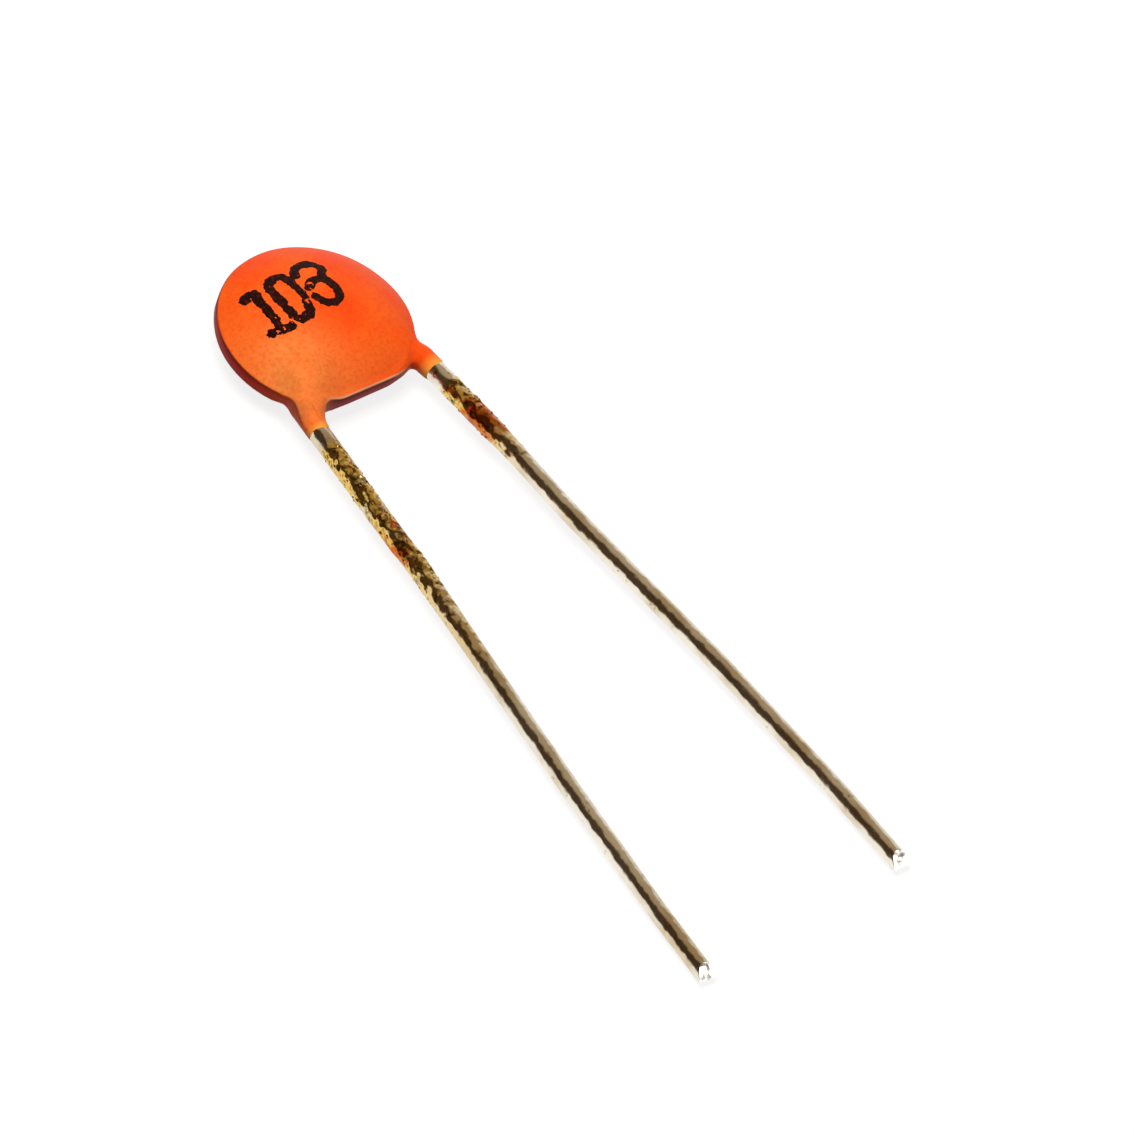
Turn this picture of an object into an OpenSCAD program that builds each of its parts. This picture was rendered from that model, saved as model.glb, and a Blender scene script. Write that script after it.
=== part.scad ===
// Ceramic disc capacitor with radial leads, drawn in millimetres.
// A ceramic disc carries fired silver on both faces. One tinned wire is soldered to each
// face, and the whole head is dipped, so that the coat runs down the wires as two legs.
// The part lies on its back: it rests on the crown of the coat and on the two wire tips.

/* [Ceramic disc] */
// Diameter of the bare ceramic disc
disc_d = 3.6; // [3.4:0.1:4.6]
// Thickness of the ceramic disc
disc_t = 0.25; // [0.2:0.05:0.5]

/* [Electrodes] */
// Bare ceramic left around the fired silver
electrode_margin = 0.25; // [0.2:0.05:0.5]
// Thickness of the fired silver
electrode_t = 0.03; // [0.02:0.01:0.05]

/* [Solder] */
// Diameter of the solder pool that holds each lead
solder_d = 1.8; // [1.4:0.1:2.2]
// Height of the solder pool above the silver
solder_h = 0.42; // [0.3:0.02:0.5]
// Solder left under the wire
solder_film = 0.03; // [0.02:0.01:0.08]

/* [Leads] */
// Diameter of the tinned wire
lead_d = 0.5; // [0.4:0.05:0.6]
// Distance between the two wires where they leave the disc
lead_pitch = 3.75; // [3.4:0.05:4.2]
// How far the pair of wires sits to the right of the disc's centre
lead_shift = 0.1; // [0:0.05:0.2]
// Left wire, from the end of the coat to its tip
left_length = 18.2; // [12:0.1:26]
// Right wire, from the end of the coat to its tip
right_length = 17.8; // [12:0.1:26]
// Mean outward lean of each wire, in degrees
lead_splay = 4.2; // [0:0.2:8]
// How much closer together the wires lie on the disc than where they leave it, a side
lead_inset = 0.35; // [0.2:0.05:0.5]
// Gap between the wire's bends and the disc's edge
edge_gap = 0.1; // [0.05:0.05:0.2]
// Radius of the formed bends inside the coat
kink_r = 0.5; // [0.4:0.05:0.7]
// Radius of the slack bends along the free wire
bow_r = 12; // [6:1:20]
// Half angle of the wedge that the cutters leave on each tip
cut_angle = 35; // [25:5:60]

/* [Coat] */
// Coat outside the edge of the ceramic disc
coat_edge = 0.7; // [0.4:0.05:0.9]
// Coat over the soldered wires, at the crown of each face
coat_film = 0.17; // [0.12:0.01:0.3]
// Coat below the disc, down to the flat dip line between the legs
coat_foot = 0.36; // [0.2:0.02:0.6]
// Half of the head's thickness at its rim
rim_half = 0.2; // [0.18:0.01:0.4]
// Rounding of the rim's two edges
rim_r = 0.09; // [0.04:0.01:0.16]
// How full the two faces are: 2 for a lens, more for a flat face with steep shoulders
fullness = 3; // [2:0.1:4]
// Rounding in plan where the rim meets the dip line
foot_r = 0.3; // [0.1:0.05:0.6]
// Width of the soft swell over each wire, to each side of it
swell_width = 1.3; // [0.8:0.05:1.6]
// Coat round the wire on each leg
leg_film = 0.05; // [0.04:0.01:0.1]
// How far the coat runs down the left wire, past the dip line
left_run = 0.75; // [0.4:0.05:1]
// How far the coat runs down the right wire, past the dip line
right_run = 0.4; // [0.35:0.05:1]
// Reach of the web that joins the left leg to the head
left_web = 0.75; // [0.2:0.05:0.9]
// Reach of the web that joins the right leg to the head
right_web = 0.25; // [0.2:0.05:0.9]
// Length over which the flat edges of a leg turn into its round end
leg_fade = 0.5; // [0.2:0.05:0.8]

/* [Hidden] */
$fn = 64;

LEFT = -1;
RIGHT = 1;

// The free wires aren't straight. Each row is a stretch: its share of the wire's length,
// and its lean in degrees, counted from the mean outward lean.
left_slack = [[0.15, -0.1], [0.09, -1.8], [0.41, 1.2], [0.23, 0.2], [0.12, -1.6]];
right_slack = [[0.15, 1.2], [0.14, -1.1], [0.30, 1.7], [0.26, -0.3], [0.15, -2.5]];

// Where each wire's soldered end lies, from the disc's centre: sideways, and up the head
seat_x = 0.35;
seat_y = 0.25;
// Distance along the wire from that end to the middle of the solder pool
pool_distance = 0.55;

// Bends run on into the straights by this much, and stand a hair proud of them
bend_lap = 0.012;
bend_proud = 0.006;

// Reach of the blends between the dome of a face, the swells and the flat legs
face_web = 0.1;

// Stations from the end of one leg, round the head, to the end of the other
stations = 72;
// Steps over each face at one station
ring_steps = 23;
// Halvings in each search for the skin
halvings = 18;
// A ray from between the legs, turned this far from straight up the head, misses both legs
clear_angle = 130;

silver_z = disc_t / 2 + electrode_t;
wire_z = silver_z + solder_film + lead_d / 2;
wire_top = wire_z + lead_d / 2;
crown = wire_top + coat_film;
body_r = disc_d / 2 + coat_edge;
foot_y = disc_d / 2 + coat_foot;
turn_r = disc_d / 2 + edge_gap;
leg_r = lead_d / 2 + leg_film;

// ---- Small helpers

function unit(v) = v / norm(v);
function eased(from, to, n) = [for (i = [0 : n]) from + (to - from) * (1 - cos(180 * i / n)) / 2];

// Smaller of two values, with the corner between them rounded off within k
function blend(a, b, k) = let (h = max(k - abs(a - b), 0) / k) min(a, b) - h * h * k / 4;
// Larger of two values, rounded off in the same way
function raised(a, b, k) = -blend(-a, -b, k);

function plan(p) = [p[0], p[1]];
// How far along the stretch from a to b the nearest point to p lies, from 0 to 1
function share(p, a, b) = let (ab = b - a) min(max((p - a) * ab / (ab * ab), 0), 1);
function between(a, b, t) = a + (b - a) * t;

// Where f changes sign between a point inside the skin and one outside it
function crossing(f, inside, outside, n = halvings) =
    let (middle = (inside + outside) / 2)
    n == 0 ? middle
    : f(middle) < 0 ? crossing(f, middle, outside, n - 1)
    : crossing(f, inside, middle, n - 1);

// Puts children at a point, with their X and Z axes along two given directions
module placed(origin, x, z) {
    y = cross(z, x);
    multmatrix([
        [x[0], y[0], z[0], origin[0]],
        [x[1], y[1], z[1], origin[1]],
        [x[2], y[2], z[2], origin[2]],
        [0, 0, 0, 1]
    ]) children();
}

// ---- Route of a wire, with the disc's centre as origin and the legs towards -Y

function exit_x(side) = side * lead_pitch / 2 + lead_shift;
function run(side) = side == LEFT ? left_run : right_run;
function free_length(side) = side == LEFT ? left_length : right_length;
function slack(side) = side == LEFT ? left_slack : right_slack;
// The left wire lies on the front face and the right one on the back
function face(side) = -side;

// Where the wire has just cleared the disc's edge, still at the height of its seat
function edge_bend(side) =
    let (x = exit_x(side) - side * lead_inset)
    [x, -sqrt(turn_r * turn_r - x * x), face(side) * wire_z];
// Where it has come down to the middle plane
function plane_bend(side) = [exit_x(side), -turn_r, 0];
function seat_end(side) = [side * seat_x + lead_shift, seat_y, face(side) * wire_z];
function heading(side, lean) = [side * sin(lead_splay + lean), -cos(lead_splay + lean), 0];
function first_heading(side) = heading(side, slack(side)[0][1]);
function coat_end(side) =
    plane_bend(side) + first_heading(side) * (foot_y + run(side) - turn_r);
// Centre of the leg's rounded end
function leg_end(side) = coat_end(side) - first_heading(side) * leg_r;

function walk(from, side, i = 0) =
    i == len(slack(side)) ? []
    : let (
        stretch = slack(side)[i],
        next = from + heading(side, stretch[1]) * stretch[0] * free_length(side)
    ) concat([next], walk(next, side, i + 1));

function coated_route(side) = [seat_end(side), edge_bend(side), plane_bend(side)];
function free_route(side) = walk(coat_end(side), side);
function route(side) = concat(coated_route(side), free_route(side));
// A bend radius for each point of the route
function bend_radii(side) = concat(
    [for (point = coated_route(side)) kink_r],
    [for (point = free_route(side)) bow_r]
);
function tip(side) = let (p = route(side)) p[len(p) - 1];
function tip_heading(side) = let (p = route(side)) unit(p[len(p) - 1] - p[len(p) - 2]);

function leg_dir(p, i) = unit(p[i + 1] - p[i]);
function turn(p, i) = acos(leg_dir(p, i - 1) * leg_dir(p, i));
function trim(p, r, i) = i == 0 || i == len(p) - 1 ? 0 : r[i] * tan(turn(p, i) / 2);

// Round wire along a route: a straight for each stretch and a true bend at each corner
module bent_wire(p, r, d) {
    for (i = [0 : len(p) - 2]) {
        along = leg_dir(p, i);
        start = p[i] + along * trim(p, r, i);
        end = p[i + 1] - along * trim(p, r, i + 1);
        placed(start, unit(cross([0, 0, 1], along)), along)
            cylinder(d = d, h = norm(end - start));
    }
    for (i = [1 : len(p) - 2]) {
        along = leg_dir(p, i - 1);
        axis = unit(cross(along, leg_dir(p, i)));
        inward = cross(axis, along);
        lap = bend_lap / r[i] * 180 / PI;
        placed(p[i] - along * trim(p, r, i) + inward * r[i], -inward, axis)
            rotate_extrude(start = -lap, angle = turn(p, i) + 2 * lap)
            translate([r[i], 0])
            circle(d = d + 2 * bend_proud);
    }
}

// The two slopes that side cutters leave, meeting in a ridge across the wire
module cutter_slopes(side) {
    blade = 2 * lead_d;
    placed(tip(side), [0, 0, 1], tip_heading(side))
        for (flip = [0, 180])
            rotate([0, 0, flip])
            rotate([0, -cut_angle, 0])
            translate([0, -blade / 2, -blade])
            cube([blade, blade, 2 * blade]);
}

module wire(side)
    difference() {
        bent_wire(route(side), bend_radii(side), lead_d);
        cutter_slopes(side);
    }

// ---- Inner pieces

module disc() cylinder(d = disc_d, h = disc_t, center = true);

// Stands children on the silvered face that a wire is soldered to
module on_face(side)
    mirror([0, 0, face(side) < 0 ? 1 : 0]) translate([0, 0, disc_t / 2]) children();

module electrode(side)
    on_face(side) cylinder(d = disc_d - 2 * electrode_margin, h = electrode_t);

// A shallow round cap, the form that molten solder draws itself into
module pool(side) {
    along = unit(edge_bend(side) - seat_end(side));
    middle = seat_end(side) + along * pool_distance;
    ball_r = (solder_d * solder_d / 4 + solder_h * solder_h) / (2 * solder_h);
    translate([middle[0], middle[1], 0])
        on_face(side)
        translate([0, 0, electrode_t])
        rotate_extrude()
        intersection() {
            translate([0, solder_h - ball_r]) circle(r = ball_r);
            square([solder_d, solder_h]);
        }
}

// ---- Skin of the dipped coat
// The coat is a plate with one outline in plan for the head and both legs. Each face is a
// low dome that runs out flat onto the legs, with a swell where it covers a wire.

// The coated stretches of a wire in plan, each as its two ends
function stretches(side) =
    let (stops = [seat_end(side), edge_bend(side), plane_bend(side), leg_end(side)])
    [for (i = [1 : len(stops) - 1]) [plan(stops[i - 1]), plan(stops[i])]];
function nearest(at, stretch) =
    between(stretch[0], stretch[1], share(at, stretch[0], stretch[1]));

function leg_outline(at, side) =
    min([for (stretch = stretches(side)) norm(at - nearest(at, stretch))]) - leg_r;

// Below nought inside the outline
function outline(at) =
    let (head = -blend(body_r - norm(at), at[1] + foot_y, foot_r))
    blend(blend(head, leg_outline(at, LEFT), left_web), leg_outline(at, RIGHT), right_web);

// Half of the thickness without the swells. It runs out flat where the legs leave the head.
function dome(at) =
    let (flat = rim_half - face_web / 4)
    raised(crown - (crown - flat) * pow(norm(at) / body_r, fullness), flat, face_web);

// Rises where the dome alone would leave too little on one stretch of a wire. Up is 1 for
// the front face and -1 for the back. On its own face the coat sinks until the end of the
// leg, and on the other it closes in where the wire reaches the middle plane.
function ridge(at, side, up, stretch) =
    let (
        over = nearest(at, stretch),
        foot = up == face(side) ? leg_end(side) : plane_bend(side),
        edge = edge_bend(side),
        down = min(max((edge[1] - over[1]) / (edge[1] - foot[1]), 0), 1),
        level = wire_z * (1 - down * down * (3 - 2 * down)),
        needed = up * face(side) * level + leg_r - dome(over),
        aside = min(norm(at - over) / swell_width, 1)
    )
    raised(needed, 0, face_web) * pow(1 - aside * aside, 2);

// Joins the ridges over a wire without a crease between them
function swell(at, side, up) =
    let (ridges = [for (stretch = stretches(side)) pow(ridge(at, side, up, stretch), 4)])
    pow(norm(ridges), 1 / 4);

// How far the edges have turned round at a point near the end of a leg, from 0 to 1
function rounded(at, side) =
    min(max(1 - (norm(at - plan(leg_end(side))) - leg_r) / leg_fade, 0), 1);

// Below nought inside the coat
function skin(p) =
    let (
        at = plan(p),
        edge_r = between(rim_r, leg_r, max(rounded(at, LEFT), rounded(at, RIGHT))),
        out = outline(at) + edge_r,
        facing = p[2] > 0 ? 1 : -1,
        height = dome(at) + swell(at, LEFT, facing) + swell(at, RIGHT, facing),
        up = abs(p[2]) - height + edge_r
    )
    norm([max(out, 0), max(up, 0)]) + min(max(out, up), 0) - edge_r;

// ---- Loft of the skin
// Each station is an upright plane through a pivot in the gap between the legs, so it
// meets the outline just twice: once on the side of the gap, and once on the far side.

pivot = [lead_shift, -foot_y - max(left_run, right_run), 0];
// Ends beyond the coat, along any ray and straight up or down
clear_reach = body_r - 2 * pivot[1];
clear_height = 2 * crown;

function ray(angle) = [sin(angle), cos(angle), 0];
function on_ray(angle, distance, z = 0) = pivot + ray(angle) * distance + [0, 0, z];

// How far along its ray a station is deepest inside the coat
function core(angle) =
    let (
        targets = [leg_end(LEFT), leg_end(RIGHT), [0, 0, 0]],
        reaches = [for (target = targets) max((target - pivot) * ray(angle), 0)],
        depths = [for (reach = reaches) skin(on_ray(angle, reach))]
    )
    reaches[search(min(depths), depths)[0]];

// The angle of the last ray that touches a leg
function end_angle(side) =
    crossing(function (angle) skin(on_ray(angle, core(angle))), 0, side * clear_angle);

// One station: a closed ring of points over the front of the coat and back under it
function ring(angle) =
    let (
        deepest = core(angle),
        edge = function (distance) skin(on_ray(angle, distance)),
        near = crossing(edge, deepest, 0),
        far = crossing(edge, deepest, clear_reach),
        distances = eased(near, far, ring_steps),
        skin_point = function (i, up)
            let (height = function (z) skin(on_ray(angle, distances[i], z)))
            on_ray(angle, distances[i], crossing(height, 0, up * clear_height))
    )
    concat(
        [on_ray(angle, near)],
        [for (i = [1 : ring_steps - 1]) skin_point(i, 1)],
        [on_ray(angle, far)],
        [for (i = [ring_steps - 1 : -1 : 1]) skin_point(i, -1)]
    );

// A closed skin through the rings, with a point at the end of each leg
module dipped_skin() {
    angles = eased(end_angle(LEFT), end_angle(RIGHT), stations);
    rings = [for (i = [1 : stations - 1]) ring(angles[i])];
    ends = [for (angle = [angles[0], angles[stations]]) on_ray(angle, core(angle))];
    points = concat([for (loop = rings) each loop], ends);
    n = len(rings[0]);
    last = len(rings) - 1;
    quads = [
        for (i = [0 : last - 1], j = [0 : n - 1])
            let (k = (j + 1) % n)
            each [
                [i * n + j, i * n + k, (i + 1) * n + k],
                [i * n + j, (i + 1) * n + k, (i + 1) * n + j]
            ]
    ];
    fans = [
        for (j = [0 : n - 1])
            let (k = (j + 1) % n)
            each [
                [len(points) - 2, k, j],
                [len(points) - 1, last * n + j, last * n + k]
            ]
    ];
    polyhedron(points, concat(quads, fans), convexity = 6);
}

// ---- How the part lies

// The head is thicker than the wires, so the part leans until its wire tips touch down
reach = -min(tip(LEFT)[1], tip(RIGHT)[1]);
rest_tilt = atan((crown - lead_d / 2) / reach);
middle_x = (tip(LEFT)[0] + tip(RIGHT)[0]) / 2;
middle_y = (body_r - reach) / 2;

// Laid on the ground plane, with the middle of its outline over the origin
module laid()
    translate([-middle_x, -middle_y, crown])
    rotate([rest_tilt, 0, 0])
    children();

// ---- Nodes

module coating()
    color("#F2551F")
    laid()
    difference() {
        dipped_skin();
        disc();
        for (side = [LEFT, RIGHT]) {
            electrode(side);
            pool(side);
            wire(side);
        }
    }

module ceramic_disc() color("#D9C9A8") laid() disc();

module front_electrode() color("#C9CBCC") laid() electrode(LEFT);

module back_electrode() color("#C9CBCC") laid() electrode(RIGHT);

module solder(side)
    color("#A9ACB0")
    laid()
    difference() {
        pool(side);
        wire(side);
    }

module front_solder() solder(LEFT);

module back_solder() solder(RIGHT);

module lead_left() color("#B3A585") laid() wire(LEFT);

module lead_right() color("#B3A585") laid() wire(RIGHT);

coating();
ceramic_disc();
front_electrode();
back_electrode();
front_solder();
back_solder();
lead_left();
lead_right();
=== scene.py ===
import math
from functools import partial
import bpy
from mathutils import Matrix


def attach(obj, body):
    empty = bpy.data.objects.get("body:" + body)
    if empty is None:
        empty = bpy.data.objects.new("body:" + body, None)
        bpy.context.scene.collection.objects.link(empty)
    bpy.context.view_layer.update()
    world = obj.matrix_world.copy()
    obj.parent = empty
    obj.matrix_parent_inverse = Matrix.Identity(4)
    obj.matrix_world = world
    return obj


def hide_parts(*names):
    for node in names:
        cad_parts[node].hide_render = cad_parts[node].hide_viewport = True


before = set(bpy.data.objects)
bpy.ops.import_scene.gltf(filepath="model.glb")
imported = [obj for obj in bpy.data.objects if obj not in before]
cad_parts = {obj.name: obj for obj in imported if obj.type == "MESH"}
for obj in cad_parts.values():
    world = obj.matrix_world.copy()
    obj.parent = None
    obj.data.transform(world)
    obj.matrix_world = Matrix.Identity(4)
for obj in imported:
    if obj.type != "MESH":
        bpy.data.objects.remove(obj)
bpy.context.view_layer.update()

from types import SimpleNamespace

import bpy
import numpy as np
from bpy.props import FloatProperty, FloatVectorProperty, IntProperty, PointerProperty
from mathutils import Matrix, Vector

bl_info = {
    "name": "Ceramic disc capacitor",
    "version": (1, 0, 0),
    "blender": (4, 5, 0),
    "location": "3D View > Sidebar > Capacitor",
    "description": "Makes the dipped coat, tinned wires and marking of a ceramic disc capacitor",
    "category": "Add Mesh",
}

MM = 0.001
LEFT, RIGHT = -1, 1
SIDE_NAMES = {LEFT: "left", RIGHT: "right"}

# Kinds of node and settings that the materials and the wire share. A span's inputs are a value,
# where it starts and ends to count, and what it gives there, or else 0 and 1
COORDINATES = "ShaderNodeTexCoord"
NOISE = "ShaderNodeTexNoise"
SPAN = "ShaderNodeMapRange"
MIX = "ShaderNodeMix"
MATH = "ShaderNodeMath"
VECTOR = "ShaderNodeVectorMath"
ATTRIBUTE = "ShaderNodeAttribute"
BUMP = "ShaderNodeBump"
SURFACE = "ShaderNodeBsdfPrincipled"
OUTPUT = "ShaderNodeOutputMaterial"
STORE = "GeometryNodeStoreNamedAttribute"
SHADING = "GeometryNodeSetShadeSmooth"
REALIZE = "GeometryNodeRealizeInstances"
COMPARE = "FunctionNodeCompare"
SMOOTH = {"interpolation_type": "SMOOTHSTEP"}
COLOUR = {"data_type": "RGBA"}

# Lengths below are in millimetres, from the disc's centre where they are places

# The stretches of each free wire: share of its length, and lean in degrees from the mean
SLACK = {
    LEFT: ((0.15, -0.1), (0.09, -1.8), (0.41, 1.2), (0.23, 0.2), (0.12, -1.6)),
    RIGHT: ((0.15, 1.2), (0.14, -1.1), (0.30, 1.7), (0.26, -0.3), (0.15, -2.5)),
}
# Spacing of the points along a wire, and its faces round about
WIRE_STEP, WIRE_SIDES = 0.07, 28
# A wire's curve runs on by the first at both ends, to a point. Points of the swept wire that are
# closer than the second are welded, and faces within the third of its end are its cut slopes
END_RUN, WELD, SLOPE_EDGE = 0.0001, 0.0002, 0.005
# Next to the coat this much of each wire has no beads
BEADLESS = 0.4

# Rings of the coat from leg to leg, and steps from a ring's near edge to its far one
RINGS, RING_STEPS = 300, 72
# Its unevenness is the mean of sines in random directions: their seed and number, their rate in
# radians per millimetre, and the step between their phases
WAVE_SEED, WAVES, WAVE_RATE, WAVE_PHASE = 7, 9, 2.2, 2.4
# This power joins the swells over a wire's stretches without a crease
JOIN_POWER = 8
# Middle of the painted sheen on the face, which is paler towards it
SHEEN_MIDDLE = (-1.7, -1.25)
# Reach of the thin film up each leg, and where the painted shade on the rim's wall and on the line
# under its upper edge begins and ends to give way beside a leg, in radii of the leg
FILM_REACH = {LEFT: 1.4, RIGHT: 1.8}
LEG_REACH = (2.6, 0.6)
WALL_LOSS, LINE_LOSS = 0.6, 0.5
# The painted highlight on the edge between the legs: its middle and half width in roundings of the
# rim, and where it starts and is at its brightest, above the dip line
EDGE_MIDDLE, EDGE_HALF = 0.4, 1 / 2.2
EDGE_RISE = (0.35, 0.10)

# Strokes of the value code, as a worn pad prints them. A True stroke closes on itself.
CODE_STROKES = (
    (False, ((-1.42, 1.22), (-1.33, 1.33), (-1.13, 1.28))),
    (False, ((-1.13, 1.28), (-1.18, 1.02), (-1.20, 0.69), (-1.23, 0.38), (-1.24, 0.13),
             (-1.26, -0.03))),
    (False, ((-1.53, 0.01), (-1.41, -0.01), (-1.26, -0.04), (-1.11, -0.06), (-0.99, -0.05))),
    (True, ((-0.58, 1.37), (-0.38, 1.40), (-0.22, 1.27), (-0.18, 1.00), (-0.17, 0.69),
            (-0.20, 0.37), (-0.31, 0.10), (-0.48, -0.01), (-0.66, 0.0), (-0.76, 0.18),
            (-0.78, 0.49), (-0.77, 0.83), (-0.75, 1.10), (-0.70, 1.27))),
    (False, ((0.07, 1.22), (0.16, 1.36), (0.32, 1.43), (0.52, 1.43), (0.71, 1.35), (0.79, 1.16),
             (0.73, 0.98), (0.54, 0.87), (0.37, 0.86))),
    (False, ((0.54, 0.87), (0.68, 0.70), (0.73, 0.45), (0.68, 0.19), (0.51, 0.07), (0.29, 0.10),
             (0.14, 0.26), (0.08, 0.42))),
    (False, ((0.37, 0.86), (0.21, 0.80), (0.10, 0.73))),
)
# Places where the pad left little ink: x, y and radius
CODE_FADED = (
    (-1.47, -0.01, 0.15), (-1.08, -0.04, 0.17), (0.20, 0.76, 0.2), (-0.20, 0.35, 0.12),
    (-0.62, 0.0, 0.12),
)
# The grid that the ink is cut from: its reach to each side and up, and its step
CODE_AREA = ((-1.80, 1.02), (-0.35, 1.62))
CODE_GRID = 0.018
# Noises of the ink's ragged edge and of its wear: height, size and seed of each
EDGE_NOISES = ((0.07, 0.13, 3), (0.04, 0.05, 4))
WEAR_NOISES = ((1.0, 0.07, 5), (0.35, 0.035, 6))
# Ink is gone where its wear is over the limit, which is lower where the pad left little
WEAR_LIMIT, FADED_LOSS, WEAR_SLOPE = 1.16, 0.34, 0.2
# Cells of the noise's lattice, and the one at the disc's centre
LATTICE, LATTICE_START = 97, 40

# In metres: half of the board's side, the camera's distance, and the two ends of its view
BOARD_HALF = 3.0
CAMERA_BACK = 0.5
CAMERA_CLIP = (0.01, 20)


# ---- Small helpers


def linear(hex_colour):
    """An sRGB hex colour as linear red, green and blue."""
    parts = [int(hex_colour[i : i + 2], 16) / 255 for i in (1, 3, 5)]
    return tuple(c / 12.92 if c <= 0.04045 else ((c + 0.055) / 1.055) ** 2.4 for c in parts)


def number(name, description, default, **kind):
    """A number property, plain unless a kind is given."""
    return FloatProperty(name=name, description=description, default=default, **kind)


def length(name, description, mm):
    """A length property with its default in millimetres."""
    return number(name, description, mm * MM, precision=6, unit="LENGTH", subtype="DISTANCE")


def angle(name, description, degrees):
    """An angle property with its default in degrees."""
    return number(name, description, math.radians(degrees), unit="ROTATION", subtype="ANGLE")


def colour(name, description, hex_colour):
    """A colour property with its default as sRGB hex."""
    return FloatVectorProperty(
        name=name, description=description, default=linear(hex_colour),
        size=3, min=0, max=1, subtype="COLOR",
    )


def setting_names(group):
    return [key for key in group.bl_rna.properties.keys() if key not in ("rna_type", "name")]


def in_millimetres(group):
    """The values of a property group, with its lengths in millimetres."""
    values = {}
    for key in setting_names(group):
        value = getattr(group, key)
        is_length = getattr(group.bl_rna.properties[key], "unit", "NONE") == "LENGTH"
        values[key] = value / MM if is_length else value
    return SimpleNamespace(**values)


def add_node(tree, kind, inputs=(), **settings):
    """Adds one node, with its settings, and links or sets its inputs: a dict of them by name, or
    a list of them in the order that the node shows them."""
    node = tree.nodes.new(kind)
    for key, value in settings.items():
        setattr(node, key, value)
    shown = [socket for socket in node.inputs if socket.enabled]
    named = isinstance(inputs, dict)
    for key, value in inputs.items() if named else enumerate(inputs):
        socket = next(s for s in shown if s.name == key) if named else shown[key]
        if isinstance(value, bpy.types.Node):
            value = next(s for s in value.outputs if s.enabled)
        if isinstance(value, bpy.types.NodeSocket):
            tree.links.new(value, socket)
        elif socket.type == "RGBA" and len(value) == 3:
            socket.default_value = (*value, 1)
        else:
            socket.default_value = value
    return node


def new_material(name):
    """An empty node material, with what adds its nodes and the place that its patterns read."""
    material = bpy.data.materials.new(name)
    material.use_nodes = True
    material.node_tree.nodes.clear()
    add = partial(add_node, material.node_tree)
    return material, add, add(COORDINATES).outputs["Object"]


def set_material(obj, material):
    obj.data.materials.clear()
    obj.data.materials.append(material)


def new_object(name, data):
    """An object at the origin, in the scene."""
    obj = bpy.data.objects.new(name, data)
    bpy.context.scene.collection.objects.link(obj)
    return obj


def new_mesh_object(name, points_mm, faces):
    """A smooth mesh object, from points in millimetres in the row's frame."""
    mesh = bpy.data.meshes.new(name)
    mesh.from_pydata([tuple(p) for p in np.asarray(points_mm) * MM], [], faces)
    mesh.validate()
    mesh.shade_smooth()
    return new_object(name, mesh)


# ---- Form of the part


def norm(v):
    return np.linalg.norm(v, axis=-1)


def unit(v):
    return v / norm(v)[..., None]


def ramp(value, none, full):
    """A share that goes evenly from 0 to 1 as a value goes from none to full."""
    return np.clip((value - none) / (full - none), 0, 1)


def softened(share):
    """A share from 0 to 1, eased at both ends."""
    return share * share * (3 - 2 * share)


def blend(a, b, k):
    """Smaller of two distances, with the corner between them rounded off within k."""
    h = np.maximum(k - np.abs(a - b), 0) / k
    return np.minimum(a, b) - h * h * k / 4


def crossing(f, inside, outside, halvings=40):
    """Where f changes sign between values inside the skin and values outside it."""
    inside, outside = np.broadcast_arrays(np.asarray(inside, float), outside)
    for _ in range(halvings):
        middle = (inside + outside) / 2
        below = f(middle) < 0
        inside, outside = np.where(below, middle, inside), np.where(below, outside, middle)
    return (inside + outside) / 2


def nearest(p, a, b):
    """The point nearest to p on the stretch from a to b."""
    ab = b - a
    return a + ab * np.clip((p - a) @ ab / (ab @ ab), 0, 1)[..., None]


def eased(start, end, n):
    """n steps from start to end, close together at both ends."""
    return start + (end - start) * (1 - np.cos(np.pi * np.arange(n + 1) / n)) / 2


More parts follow.
